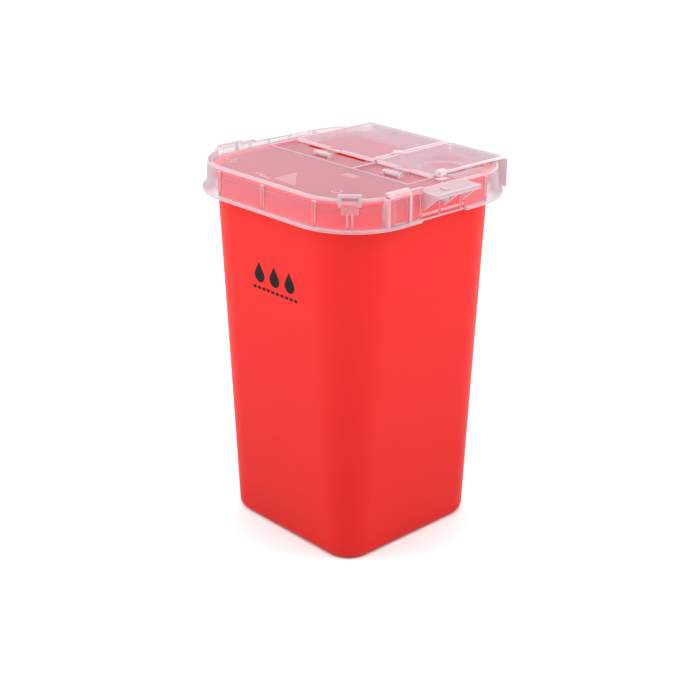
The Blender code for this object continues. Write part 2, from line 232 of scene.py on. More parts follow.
def finish_piece(obj, name, body, node, materials, lift=0.0):
    """Scale to metres, shade, give materials, tie the piece to its CAD body and hide the CAD node it stands
    in for.
    """
    obj.data.transform(Matrix.Scale(MM, 4) @ Matrix.Translation((0.0, 0.0, lift)))
    obj.name = name
    obj.data.name = name
    for place in range(len(obj.data.materials) - 1, len(materials) - 1, -1):
        obj.data.materials.pop(index=place)
    for place, material in enumerate(materials):
        obj.data.materials[place] = material
    obj.data.shade_smooth()
    obj.data.set_sharp_from_angle(angle=radians(SMOOTH_ANGLE))
    weight = obj.modifiers.new("face_weighted", "WEIGHTED_NORMAL")
    weight.keep_sharp = True
    weight.weight = 80
    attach(obj, body)
    if node:
        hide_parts(node)
    return obj


# ---- materials ------------------------------------------------------------------------------------
DRIFT_SCALE = 28.0              # noise scales, per metre
CLOUD_SCALE = 170.0
RIPPLE_SCALE = 420.0
INK_SCALE = 900.0
GRAIN_SCALE = 1500.0
DRIFT_SHARE = 0.06              # how much of the red's change of tone is random drift; the rest goes with height and is painted shade
LEAST_STRAIGHT = 0.06           # bounds how much a surface seen edge on can hide

# (foot, top) colours of the reds, the darker foot being painted shade, and (head on, aslant) colours of the
# clear plastic, the darker aslant colour being painted shade
RED_WALL_PAINTED_SHADE = ((0.57, 0.0160, 0.0140), (0.785, 0.0250, 0.0210))
RED_RIM_PAINTED_LIGHT = ((0.84, 0.025, 0.022), (0.88, 0.027, 0.024))
RED_INSIDE_PAINTED_LIGHT = ((0.76, 0.023, 0.020), (0.78, 0.025, 0.022))
RED_COLLAR_PAINTED_LIGHT = ((0.90, 0.027, 0.024), (0.94, 0.029, 0.026))
WALL_TINT = ((0.68, 0.43, 0.51), (0.37, 0.29, 0.31))
DECK_TINT = ((0.47, 0.38, 0.43), (0.45, 0.36, 0.41))
FLAP_TINT = ((0.64, 0.47, 0.55), (0.50, 0.385, 0.43))
FROSTED = ((0.60, 0.50, 0.54), (0.56, 0.46, 0.50))
THICK = ((0.70, 0.54, 0.60), (0.58, 0.45, 0.50))
HAZY_WITH_PAINTED_LIGHT = ((0.70, 0.54, 0.60), (0.56, 0.44, 0.50))
WHITE_AND_PAINTED_HIGHLIGHT = ((0.68, 0.53, 0.58), (0.60, 0.48, 0.52))
BRIGHT_AND_PAINTED_HIGHLIGHT = ((0.90, 0.76, 0.80), (0.80, 0.68, 0.72))
BLACK_INK = ((0.012, 0.009, 0.010), (0.028, 0.020, 0.020))


def node_tree(name):
    """New material, its node tree, its Principled shader and an object-space position."""
    material = bpy.data.materials.new(name)
    material.use_nodes = True
    tree = material.node_tree
    place = tree.nodes.new("ShaderNodeTexCoord").outputs["Object"]
    return material, tree, tree.nodes["Principled BSDF"], place


def noise(tree, place, scale, detail=3.0, roughness=0.5, distortion=0.0):
    """Cloud noise at a position."""
    texture = tree.nodes.new("ShaderNodeTexNoise")
    texture.inputs["Scale"].default_value = scale
    texture.inputs["Detail"].default_value = detail
    texture.inputs["Roughness"].default_value = roughness
    texture.inputs["Distortion"].default_value = distortion
    tree.links.new(place, texture.inputs["Vector"])
    return texture.outputs["Fac"]


def remap(tree, value, low, high, start=0.3, end=0.7):
    """Map a value from start..end to low..high; the defaults are the usual spread of noise."""
    node = tree.nodes.new("ShaderNodeMapRange")
    node.inputs["From Min"].default_value = start
    node.inputs["From Max"].default_value = end
    node.inputs["To Min"].default_value = low
    node.inputs["To Max"].default_value = high
    tree.links.new(value, node.inputs["Value"])
    return node.outputs["Result"]


def arithmetic(tree, operation, *values):
    """Math node; a value is a number or a socket."""
    node = tree.nodes.new("ShaderNodeMath")
    node.operation = operation
    for socket, value in zip(node.inputs, values):
        if isinstance(value, (int, float)):
            socket.default_value = value
        else:
            tree.links.new(value, socket)
    return node.outputs[0]


def colour_blend(tree, share, first, second):
    """Colour between two constants, by a varying share."""
    ramp = tree.nodes.new("ShaderNodeValToRGB")
    ramp.color_ramp.elements[0].color = (*first, 1.0)
    ramp.color_ramp.elements[1].color = (*second, 1.0)
    tree.links.new(share, ramp.inputs["Fac"])
    return ramp.outputs["Color"]


def bump(tree, height, strength, distance, shader):
    """Fine relief; distance is in metres."""
    node = tree.nodes.new("ShaderNodeBump")
    node.inputs["Strength"].default_value = strength
    node.inputs["Distance"].default_value = distance
    tree.links.new(height, node.inputs["Height"])
    tree.links.new(node.outputs["Normal"], shader.inputs["Normal"])


def red_plastic(name, low, high, glow=0.0):
    """Opaque satin polypropylene with fine grain, darker near the foot as painted shade; glow is painted
    light, an emission standing in for light let through it.
    """
    material, tree, shader, place = node_tree(name)
    split = tree.nodes.new("ShaderNodeSeparateXYZ")
    tree.links.new(place, split.inputs[0])
    # painted shade: the colour darkens with height towards the foot, plus a little random drift
    height = remap(tree, split.outputs["Z"], 0.0, 1.0 - DRIFT_SHARE, 0.0, LID_Z * MM)
    drift = remap(tree, noise(tree, place, DRIFT_SCALE, 2.0), 0.0, DRIFT_SHARE)
    colour = colour_blend(tree, arithmetic(tree, "ADD", height, drift), low, high)
    tree.links.new(colour, shader.inputs["Base Color"])
    grain = noise(tree, place, GRAIN_SCALE, 2.0)
    tree.links.new(remap(tree, grain, 0.42, 0.52), shader.inputs["Roughness"])
    bump(tree, grain, 0.08, 0.00012, shader)
    shader.inputs["Specular IOR Level"].default_value = 0.1
    # painted glow: an emission that stands in for light let through the plastic
    if glow:
        shader.inputs["Emission Color"].default_value = (*high, 1.0)
        shader.inputs["Emission Strength"].default_value = glow
    return material


def clear_plastic(name, depth, near, far, roughness, shine=0.12, mottle=0.05, ripple=0.02, aslant=None):
    """Milky polypropylene. depth is how much one surface hides head on; it hides more where seen aslant.

    near and far are its colours head on and aslant, the darker aslant colour being painted shade; aslant is
    a (depth, power) pair that takes over there.
    """
    material, tree, shader, place = node_tree(name)
    cloud = noise(tree, place, CLOUD_SCALE, 4.0, 0.55, 0.4)
    facing = tree.nodes.new("ShaderNodeLayerWeight")
    facing.inputs["Blend"].default_value = 0.5
    slant = facing.outputs["Facing"]
    tint = arithmetic(tree, "ADD", slant, remap(tree, cloud, -mottle, mottle))
    # base colour by facing: the darker colour aslant is painted shade
    tree.links.new(colour_blend(tree, tint, near, far), shader.inputs["Base Color"])
    straight = arithmetic(tree, "MAXIMUM", arithmetic(tree, "SUBTRACT", 1.0, slant), LEAST_STRAIGHT)
    hidden = arithmetic(tree, "DIVIDE", depth, straight)
    if aslant:
        steep = arithmetic(tree, "DIVIDE", aslant[0], arithmetic(tree, "POWER", straight, aslant[1]))
        hidden = arithmetic(tree, "MAXIMUM", hidden, steep)
    hidden = arithmetic(tree, "MULTIPLY", hidden, remap(tree, cloud, mottle - 1.0, -mottle - 1.0))
    passed = arithmetic(tree, "EXPONENT", hidden)
    tree.links.new(arithmetic(tree, "SUBTRACT", 1.0, passed), shader.inputs["Alpha"])
    tree.links.new(remap(tree, cloud, roughness - 0.04, roughness + 0.06), shader.inputs["Roughness"])
    bump(tree, noise(tree, place, RIPPLE_SCALE, 3.0), ripple, 0.0004, shader)
    shader.inputs["Specular IOR Level"].default_value = shine
    return material


def ink():
    """Matt black print, slightly uneven."""
    material, tree, shader, place = node_tree("black_print")
    patch = noise(tree, place, INK_SCALE, 3.0)
    colour = colour_blend(tree, remap(tree, patch, 0.0, 1.0), *BLACK_INK)
    tree.links.new(colour, shader.inputs["Base Color"])
    tree.links.new(remap(tree, patch, 0.5, 0.65), shader.inputs["Roughness"])
    shader.inputs["Specular IOR Level"].default_value = 0.05
    return material


def tub_finishes():
    """The tub's wall, rim, inside and collar; the rim, inside and collar are brighter copies of the red
    with a painted glow, which is painted light.
    """
    return [
        red_plastic("red_polypropylene", *RED_WALL_PAINTED_SHADE),
        # brighter copies of the same red with a painted glow: painted light where the lid and the tub shade
        # them
        red_plastic("red_rim", *RED_RIM_PAINTED_LIGHT, glow=0.16),
        red_plastic("red_inside", *RED_INSIDE_PAINTED_LIGHT, glow=0.13),
        red_plastic("red_collar", *RED_COLLAR_PAINTED_LIGHT, glow=0.2),
    ]


def lid_finishes():
    """The lid's materials, in the order of the places."""
    return [
        clear_plastic("lid_wall", 0.175, *WALL_TINT, 0.34, aslant=(0.06, 3.5)),
        clear_plastic("lid_thin_floor", 0.085, *DECK_TINT, 0.34),
        clear_plastic("lid_thick_band", 0.42, *THICK, 0.32),
        # the edge and gloss finishes have pale colours that are partly painted highlight
        clear_plastic("lid_edge", 0.7, *WHITE_AND_PAINTED_HIGHLIGHT, 0.28, shine=0.2),
        clear_plastic("lid_gloss", 0.3, *BRIGHT_AND_PAINTED_HIGHLIGHT, 0.1, shine=0.8, mottle=0.3, ripple=0.5),
        clear_plastic("lid_deck", 0.11, *DECK_TINT, 0.34),
        clear_plastic("lid_frosted_pad", 0.15, *FROSTED, 0.36),
    ]


def flap_finishes():
    """The flaps' materials, in the order of the places."""
    return [
        clear_plastic("flap_plate", 0.115, *FLAP_TINT, 0.30),
        clear_plastic("flap_thin", 0.06, *DECK_TINT, 0.30),
        clear_plastic("flap_thick_band", 0.30, *THICK, 0.28),
        # the edge and gloss finishes have pale colours that are partly painted highlight
        clear_plastic("flap_edge", 1.3, *BRIGHT_AND_PAINTED_HIGHLIGHT, 0.25, shine=0.2),
        clear_plastic("flap_gloss", 0.32, *BRIGHT_AND_PAINTED_HIGHLIGHT, 0.1, shine=0.8, mottle=0.45, ripple=0.6),
        # the back wall's paler colour is painted light, making up for the shade the flap's plate casts on
        # it
        clear_plastic("flap_back_wall", 0.64, *HAZY_WITH_PAINTED_LIGHT, 0.30),
    ]


# ---- tub ------------------------------------------------------------------------------------------
BASE_HALF = (40.4, 39.9)
SKIRT_HALF = (48.4, 47.3)
BASE_CORNER = 12.5
SKIRT_CORNER = 23.75
BASE_FILLET = 3.5
FOOT_WIDE = 2.6                 # flat foot ring; inside it the underside is raised
UNDERSIDE_RISE = 0.7
WALL = 1.6
WALL_RINGS = 14
FLOOR = 2.0
FLOOR_FILLET = 3.0
BEAD_OUT = 1.7
BEAD_BOTTOM = 158.7
BEAD_ROUND = 0.9
RIM_TOP = 163.9
RIM_ROUND = 0.7
RIM_DEEP = 6.0


def tub_ring(z, offset):
    """Tub outline at a height, moved in or out of the tapered side walls."""
    share = z / LID_Z
    half_x = BASE_HALF[0] + (SKIRT_HALF[0] - BASE_HALF[0]) * share + offset
    half_y = BASE_HALF[1] + (SKIRT_HALF[1] - BASE_HALF[1]) * share + offset
    corner = BASE_CORNER + (SKIRT_CORNER - BASE_CORNER) * share + offset
    return rounded_ring(half_x, half_y, corner, z)


def tub(materials):
    """Tapered tub with a rounded foot, a recessed underside and a bead round the rim."""
    raised = -BASE_FILLET - FOOT_WIDE
    rings = [
        tub_ring(UNDERSIDE_RISE, raised),
        tub_ring(UNDERSIDE_RISE - 0.2, raised + 0.6),
        tub_ring(0.0, -BASE_FILLET),
    ]
    for angle in quarter(8, 1):
        rings.append(tub_ring(BASE_FILLET * (1 - cos(angle)), -BASE_FILLET * (1 - sin(angle))))
    for step in range(1, WALL_RINGS + 1):
        rings.append(tub_ring(BASE_FILLET + (LID_Z - BASE_FILLET) * step / WALL_RINGS, 0.0))
    wall_end = len(rings) - 1
    rings.append(tub_ring(BEAD_BOTTOM, 0.0))
    for angle in quarter(5, 1):
        rings.append(tub_ring(BEAD_BOTTOM + BEAD_ROUND * sin(angle), BEAD_OUT * (1 - cos(angle))))
    collar_end = len(rings)
    for angle in quarter(5):
        level = RIM_TOP - RIM_ROUND * (1 - sin(angle))
        rings.append(tub_ring(level, BEAD_OUT - RIM_ROUND * (1 - cos(angle))))
    for angle in quarter(4):
        level = RIM_TOP - RIM_ROUND * (1 - cos(angle))
        rings.append(tub_ring(level, -WALL + RIM_ROUND * (1 - sin(angle))))
    rim_end = len(rings) - 1
    rings.append(tub_ring(RIM_TOP - RIM_DEEP, -WALL))
    for angle in quarter(6):
        inset = WALL + FLOOR_FILLET * (1 - cos(angle))
        rings.append(tub_ring(FLOOR + FLOOR_FILLET * (1 - sin(angle)), -inset))
    # the bead, the rim's top and the inside take the brighter red copies with their painted glow
    bands = [PLATE] * wall_end + [EDGE] * (collar_end - wall_end) + [THIN] * (rim_end - collar_end)
    bands += [BAND] * (len(rings) - 1 - len(bands))
    obj = loft(rings, bands, (PLATE, BAND))
    return finish_piece(obj, "tub_moulding", "tub", "container_body", materials)


# ---- lid ------------------------------------------------------------------------------------------
LID_HALF = (52.7, 50.9)
LID_CORNER = 26.6
DECK_TOP = 12.4
DECK_UNDER = 11.0
RIM_RISE = 0.9                  # rounded rim round the deck, fading out behind the flaps
RIM_FADE = (14.0, 32.0)
RIM_FADE_LEFT = (0.0, 24.0)
RIM_OUTER = -0.5                # outside this offset the rim has the edge material
SOFT_RIM_X = -36.0              # the rim is frosted to the left of this and behind the next
SOFT_RIM_Y = 9.0
RIM_PROFILE = (                 # offset from the wall, height, share of the rise
    (-2.6, 12.4, 0.0),
    (-2.3, 12.4, 0.35),
    (-1.9, 12.4, 0.85),
    (-1.4, 12.4, 1.0),
    (-0.9, 12.4, 0.98),
    (-0.45, 12.3, 0.85),
    (-0.15, 12.05, 0.7),
    (0.0, 11.7, 0.6),
)
LID_WALL = 1.2
LID_DRAFT = 0.45
FLARE_TOP = 4.0
FLARE_STEPS = 6
FLARE_TURN = 6 * pi / 14
FLANGE_OUT = 2.4
FLANGE_THICK = 1.3
FLANGE_LIP = 0.3
SEAL_HEIGHT = 8.7               # bead inside the wall that the tub's rim snaps behind
SEAL_PROFILE = ((-0.4, 0.0, PLATE), (-0.15, -0.3, PLATE), (0.15, -0.3, BAND), (0.4, 0.0, PLATE))

BACK_GAP_X = (-43.0, 43.0)      # no flange behind the flaps, and the plain wall put back there
BACK_WALL_X = (-28.0, 28.0)
SIDE_GAP_Y = (-13.0, 12.8)      # the same under the thumb shelf, with a line along the wall's foot
SIDE_WALL_Y = (-13.6, 13.4)
SIDE_LINE_Y = (-13.3, 13.1)

FRONT_RIB_X = (-26.5, 1.6, 32.1)
FRONT_RIB_HALF = 1.0
SIDE_RIB_Y = (-12.6, -1.7, 10.9, 25.9)
SIDE_RIB_HALF = 0.75
RIB_Z = (1.0, DECK_TOP - 0.5)
RIB_PROUD = 1.0
RIB_ROOT = 0.5

CHANNEL_X = (-42.1, 42.5)
CHANNEL_Y = (-9.4, 7.0)
CHANNEL_FLOOR = 11.7
RIDGE_TOP = 13.1
RIDGE_WIDE = 0.9
RIDGE_BACK = 4.8
DIVIDER_X = (8.9, 10.0)
DIVIDER_BACK = 4.6
DIVIDER_TOP = 12.9

DROP_X = (-37.0, 4.75)
DROP_Y = (4.1, 34.2)
DROP_CORNER = 6.6
SLOT_X = (DROP_X[0] - 3.6, 8.5)  # the slot in front of the flaps, where the red shows
SLOT_BACK = 5.4
SMALL_SLOT_X = (29.7, 33.3)
PORT_CENTRE = (26.8, 28.5)
PORT_RADIUS = 9.5
PORT_STEPS = 56
COLLAR_RADIUS = 12.5
COLLAR_BOTTOM = 9.2
POST_CENTRE = (8.2, 19.6)
POST_RADIUS = 2.75
POST_TOP = 14.8
POST_ROUND = 0.9
# glossy pad under the small flap's ear: a painted reflection of the ear on the deck
EAR_REFLECTION_PAD_X = (43.6, 47.2)
EAR_REFLECTION_PAD_Y = (5.0, 10.4)
EAR_REFLECTION_PAD_TOP = 12.65

TAB_Y = (-30.9, -18.3)
TAB_IN = 51.2
TAB_OUT = 54.4
TAB_BOTTOM = 0.2
TAB_SHOULDER = 13.4
TAB_TOP = 15.2
TAB_CREST_X = 52.6              # the top slopes down from here to the shoulder
TAB_HEEL = 11.4
PANEL_DEEP = 1.2
PANEL_Z = (1.8, 12.2)
PILLAR_X = (50.6, 54.3)
PILLAR_Y = (-31.8, -30.2)
PILLAR_Z = (0.5, 13.0)
CURB_X = (51.3, 52.95)
CURB_Z = (11.8, 14.1)

SHELF_ROOT = LID_HALF[0] - 0.7
SHELF_OUT = 61.4
SHELF_Y = (-11.2, 14.6)
SHELF_Z = (10.9, 12.3)
SHELF_SLOT_X = (55.2, 58.2)
SHELF_SLOT_Y = (-4.4, -1.9)
SHELF_SLOT_WIDE = 0.9
SHELF_SLOT_Z = (11.5, 14.0)
GUSSET_Y = (-11.2, 0.4, 11.0)
GUSSET_THICK = 1.1
GUSSET_BOTTOM = 3.2
GUSSET_TIP = SHELF_OUT - 0.66   # stays clear of the bar along the shelf's front edge

LOOP_TURN = -45.0               # the corner loop is laid out on +X, then turned to the front right corner
LOOP_IN = 61.5
LOOP_OUT = 63.6
LOOP_Y = (-3.7, 5.6)
LOOP_LEG = 1.4
LOOP_RIB_Y = ((-0.5, 0.4), (1.5, 2.4))

HINGE_Y = -2.4
HINGE_Z = 12.6
LARGE_LUG_X = -15.9
SMALL_LUG_X = 26.9
PIN_RADIUS = 0.75
KNUCKLE_BORE = 1.0
KNUCKLE_RADIUS = 1.45
KNUCKLE_LENGTH = 7.6
KNUCKLE_GAP = 0.35
CHEEK_THICK = 1.1
CHEEK_HALF = 1.35
CHEEK_TOP = 13.75

RING_MARKS = (((-36.6, -36.6), 2.2), ((-32.4, -38.6), 1.4), ((30.2, -36.8), 2.2))
# the bars are painted highlights and the triangle a painted reflection, both as raised pads
PAINTED_HIGHLIGHT_BARS = (((-12.4, -6.8), (-43.5, -42.9)), ((-8.4, -1.8), (-44.9, -44.3)))
PAINTED_REFLECTION_TRIANGLE = ((-1.4, -43.0), (12.6, -43.6), (-1.8, -30.0))
PANEL_MARK = ((13.0, 21.2), (-19.6, -15.0))
END_PAD = ((43.1, 49.9), (11.6, 33.0))


def lid_ring(height, offset, ripple=None):
    """Lid outline at a height, moved in or out of its wall; ripple moves points up or down by place."""
    points = rounded_ring(LID_HALF[0] + offset, LID_HALF[1] + offset, LID_CORNER + offset, height)
    if ripple:
        for point in points:
            point.z += ripple(point)
    return points


def rim_share(point):
    """1 round the front and sides, fading to 0 behind the flaps."""
    start, end = RIM_FADE if point.x > 0.0 else RIM_FADE_LEFT
    share = (end - point.y) / (end - start)
    return max(0.0, min(1.0, share))


def rim_ring(offset, height, rise):
    """Lid outline raised by a share of the rim's rise."""
    return lid_ring(height, offset, lambda point: RIM_RISE * rise * rim_share(point))


def seal_wave(point):
    """Small wander of the seal bead's height."""
    return 0.35 * sin(0.33 * point.x + 0.4) + 0.3 * sin(0.71 * point.x - 1.1 + 0.2 * point.y)


def lid_shell():
    """Deck with its rounded rim, drafted wall, flared bottom edge and the seal bead inside."""
    rings = [rim_ring(*stage) for stage in RIM_PROFILE]
    bands = [EDGE if offset > RIM_OUTER else BAND for offset, _, _ in RIM_PROFILE[:-1]]

    def carry_to(height, offset, band, ripple=None):
        """Take the skin on to a new ring; band is the place of the faces on the way."""
        bands.append(band)
        rings.append(lid_ring(height, offset, ripple))

    carry_to(FLARE_TOP, LID_DRAFT, PLATE)
    for step in range(1, FLARE_STEPS + 1):
        angle = step * pi / 14
        reach = (FLANGE_OUT - LID_DRAFT) * (1 - cos(angle)) / (1 - cos(FLARE_TURN))
        drop = (FLARE_TOP - FLANGE_THICK) * sin(angle) / sin(FLARE_TURN)
        carry_to(FLARE_TOP - drop, LID_DRAFT + reach, PLATE if step < FLARE_STEPS else BAND)
    carry_to(FLANGE_THICK - 0.35, FLANGE_OUT + 0.05, EDGE)
    carry_to(FLANGE_LIP, FLANGE_OUT, BAND)
    carry_to(0.0, FLANGE_OUT - FLANGE_LIP, EDGE)
    carry_to(0.0, FLANGE_OUT - LID_WALL, BAND)
    carry_to(FLANGE_THICK + 0.4, FLANGE_OUT - LID_WALL - 0.3, BAND)
    carry_to(FLARE_TOP - 0.4, LID_DRAFT - LID_WALL, PLATE)
    inner = LID_DRAFT / 2 - LID_WALL
    for height, offset, band in SEAL_PROFILE:
        carry_to(SEAL_HEIGHT + height, inner + offset, band, seal_wave)
    carry_to(DECK_UNDER - 0.6, 0.1 - LID_WALL, PLATE)
    carry_to(DECK_UNDER, -0.5 - LID_WALL, PLATE)
    shell = loft(rings, bands, (BROAD, BROAD))
    for polygon in shell.data.polygons:
        soft = polygon.center.x < SOFT_RIM_X or polygon.center.y > SOFT_RIM_Y
        if polygon.material_index == BAND and soft and polygon.center.z > DECK_TOP - 0.01:
            polygon.material_index = FROST
    return shell


def straighten_skirt(lid):
    """Take the flare off behind the flaps and under the thumb shelf, leaving a plain wall there."""
    back = LID_HALF[1] + LID_DRAFT + 0.1
    side = LID_HALF[0] + LID_DRAFT + 0.1
    behind = block(BACK_GAP_X, (back, back + 8.0), (-1.0, 6.0), EDGE, EDGE, 0.0)
    beside = block((side, side + 8.0), SIDE_GAP_Y, (-1.0, FLARE_TOP), EDGE, EDGE, 0.0)
    cut(lid, joined([behind, beside]))
    behind = block(BACK_WALL_X, (back - LID_WALL, back), (0.0, 5.0), THIN, THIN, 0.15)
    beside = block((side - LID_WALL, side), SIDE_WALL_Y, (0.0, 5.0), THIN, THIN, 0.15)
    add(lid, joined([behind, beside]))
    add(lid, block((side - LID_WALL + 0.1, side + 0.12), SIDE_LINE_Y, (0.02, 0.95), EDGE, EDGE, 0.25))


def wall_ribs():
    """Slim upright ribs on the outside of the wall, in front and on both sides."""
    tools = []
    for x in FRONT_RIB_X:
        past_flat = max(0.0, abs(x) - (LID_HALF[0] - LID_CORNER))
        wall = LID_HALF[1] - (LID_CORNER - sqrt(LID_CORNER ** 2 - past_flat ** 2))
        wide = (x - FRONT_RIB_HALF, x + FRONT_RIB_HALF)
        tools.append(block(wide, (-wall - RIB_PROUD, -wall + RIB_ROOT), RIB_Z, PLATE, EDGE, 0.28))
    wall = LID_HALF[0]
    for y in SIDE_RIB_Y:
        wide = (y - SIDE_RIB_HALF, y + SIDE_RIB_HALF)
        tools.append(block((wall - RIB_ROOT, wall + RIB_PROUD), wide, RIB_Z, PLATE, EDGE, 0.28))
        tools.append(block((-wall - RIB_PROUD, -wall + RIB_ROOT), wide, RIB_Z, PLATE, EDGE, 0.28))
    return tools


def latch_tabs(lid):
    """Box-shaped tab on each side with a sloping top and a recessed panel, and a curb behind it."""
    outline = (
        (TAB_IN, TAB_BOTTOM),
        (TAB_OUT, TAB_BOTTOM),
        (TAB_OUT, TAB_SHOULDER),
        (TAB_CREST_X, TAB_TOP),
        (TAB_IN, TAB_TOP),
        (TAB_IN, TAB_HEEL),
    )
    line_y = (TAB_Y[1] - 1.7, TAB_Y[1] - 0.2)
    panel_y = (TAB_Y[0] + 3.2, TAB_Y[1] - 1.9)
    curb_y = (TAB_Y[1] - 0.3, SHELF_Y[0] + 0.4)
    tabs = []
    panels = []
    lines = []
    for side in (1, -1):
        tab = prism([(side * x, z) for x, z in outline], TAB_Y[0], TAB_Y[1], "Y", PLATE, EDGE, 0.45, 3)
        for polygon in tab.data.polygons:
            if polygon.normal.z > 0.3:
                polygon.material_index = GLOSS
        tabs.append(tab)
        raised = mirrored(side, TAB_OUT - 0.5, TAB_OUT + 0.12)
        lines.append(block(raised, line_y, (0.45, 12.9), EDGE, EDGE, 0.1))
        face = mirrored(side, TAB_OUT - PANEL_DEEP, TAB_OUT + 2.0)
        panels.append(block(face, panel_y, PANEL_Z, PLATE, EDGE, 0.3))
    add(lid, joined(tabs))
    cut(lid, joined(panels))
    add(lid, joined(lines))
    add(lid, joined([block(mirrored(side, *CURB_X), curb_y, CURB_Z, BAND, EDGE, 0.4) for side in (1, -1)]))


def tab_pillars():
    """Upright bar on the front edge of each latch tab."""
    return [block(mirrored(side, *PILLAR_X), PILLAR_Y, PILLAR_Z, EDGE, EDGE, 0.4, 3) for side in (1, -1)]


def thumb_shelf():
    """Shelf level with the deck, with a raised bar between two shallow slots, as one tool."""
    shelf = block((SHELF_ROOT, SHELF_OUT), SHELF_Y, SHELF_Z, PLATE, EDGE, 0.45, 3)
    slots = []
    for y in SHELF_SLOT_Y:
        slots.append(block(SHELF_SLOT_X, (y, y + SHELF_SLOT_WIDE), SHELF_SLOT_Z, EDGE, EDGE, 0.0))
    cut(shelf, joined(slots))
    add(shelf, block((54.6, 58.8), (-3.2, -2.1), (7.6, 12.9), EDGE, EDGE, 0.25))
    front_x = (SHELF_OUT - 0.9, SHELF_OUT - 0.03)
    front_y = (SHELF_Y[0] + 0.5, SHELF_Y[1] - 0.5)
    add(shelf, block(front_x, front_y, (10.52, 12.42), EDGE, EDGE, 0.2))
    return shelf


def gussets():
    """Triangular plates under the thumb shelf."""
    outline = ((SHELF_ROOT, GUSSET_BOTTOM), (GUSSET_TIP, 10.4), (GUSSET_TIP, 11.3), (SHELF_ROOT, 11.3))
    return [prism(outline, y, y + GUSSET_THICK, "Y", BAND, EDGE, 0.2) for y in GUSSET_Y]


def corner_loop(lid):
    """Staple-shaped loop standing on the front right corner, over a tongue and two ribs."""
    left, right = LOOP_Y
    slot = block((57.0, 62.0), (left + 1.1, right - 1.1), (11.5, 14.0), THIN, BAND, 0.0)
    cut(lid, turned(slot, LOOP_TURN))
    leg_x = (LOOP_IN - 0.1, LOOP_OUT - 0.05)
    leg_y = ((left, left + LOOP_LEG), (right - LOOP_LEG, right))
    legs = joined([block(leg_x, y, (10.6, 15.0), EDGE, EDGE, 0.25) for y in leg_y])
    bar = block((LOOP_OUT - 1.55, LOOP_OUT), (left - 0.05, right + 0.05), (14.3, 15.7), EDGE, EDGE, 0.4, 3)
    sill_x = (LOOP_IN - 0.83, LOOP_OUT - 0.53)
    sill = block(sill_x, (left + 0.9, right - 0.9), (11.3, 12.25), BAND, EDGE, 0.2)
    tongue_y = (left + LOOP_LEG - 0.2, right - LOOP_LEG + 0.2)
    tongue = block((LOOP_IN - 0.2, LOOP_OUT - 0.71), tongue_y, (7.3, 11.8), BAND, EDGE, 0.25)
    rib_x = (LOOP_IN - 0.3, LOOP_OUT - 0.34)
    ribs = [block(rib_x, y, (1.05, 7.7), BAND, EDGE, 0.3) for y in LOOP_RIB_Y]
    for tool in (legs, bar, sill, tongue, *ribs):
        add(lid, turned(tool, LOOP_TURN))


def channel(lid):
    """Shallow channel across the deck with its ridges."""
    cut(lid, block(CHANNEL_X, CHANNEL_Y, (CHANNEL_FLOOR, DECK_TOP + 3.0), THIN, THIN, 0.0))
    back = CHANNEL_Y[0] + 0.07
    front = back - RIDGE_WIDE
    wide = (CHANNEL_X[0] - RIDGE_WIDE, CHANNEL_X[1] + RIDGE_WIDE)
    add(lid, block(wide, (front, back), (DECK_TOP - 0.35, RIDGE_TOP), PLATE, BAND, 0.3))
    side_y = (front + 0.3, RIDGE_BACK)
    side_z = (DECK_TOP - 0.4, RIDGE_TOP - 0.03)
    sides = []
    for x in (CHANNEL_X[0] - RIDGE_WIDE + 0.07, CHANNEL_X[1] - 0.07):
        sides.append(block((x, x + RIDGE_WIDE), side_y, side_z, PLATE, BAND, 0.3))
    divider_z = (CHANNEL_FLOOR - 0.3, DIVIDER_TOP)
    sides.append(block(DIVIDER_X, (CHANNEL_Y[0] - 0.2, DIVIDER_BACK), divider_z, PLATE, EDGE, 0.25))
    add(lid, joined(sides))


def port_collar():
    """Ring that hangs from the deck round the port, before it is bored."""
    profile = (
        (COLLAR_RADIUS, DECK_UNDER + 0.4),
        (COLLAR_RADIUS, COLLAR_BOTTOM + 0.3),
        (COLLAR_RADIUS - 0.3, COLLAR_BOTTOM),
    )
    return drum(PORT_CENTRE, profile, (BAND, EDGE), (BAND, BAND), PORT_STEPS)


def snap_post():
    """Domed post between the flaps, with a shallow dimple."""
    shoulder = POST_TOP - POST_ROUND
    profile = [(POST_RADIUS, DECK_TOP - 0.6), (POST_RADIUS, shoulder)]
    for angle in quarter(6, 1)[:-1]:
        profile.append((POST_RADIUS - POST_ROUND * (1 - cos(angle)), shoulder + POST_ROUND * sin(angle)))
    profile.append((POST_RADIUS - 1.3, POST_TOP))
    profile.append((POST_RADIUS - 1.6, POST_TOP - 0.25))
    return drum(POST_CENTRE, profile, GLOSS, (GLOSS, GLOSS))


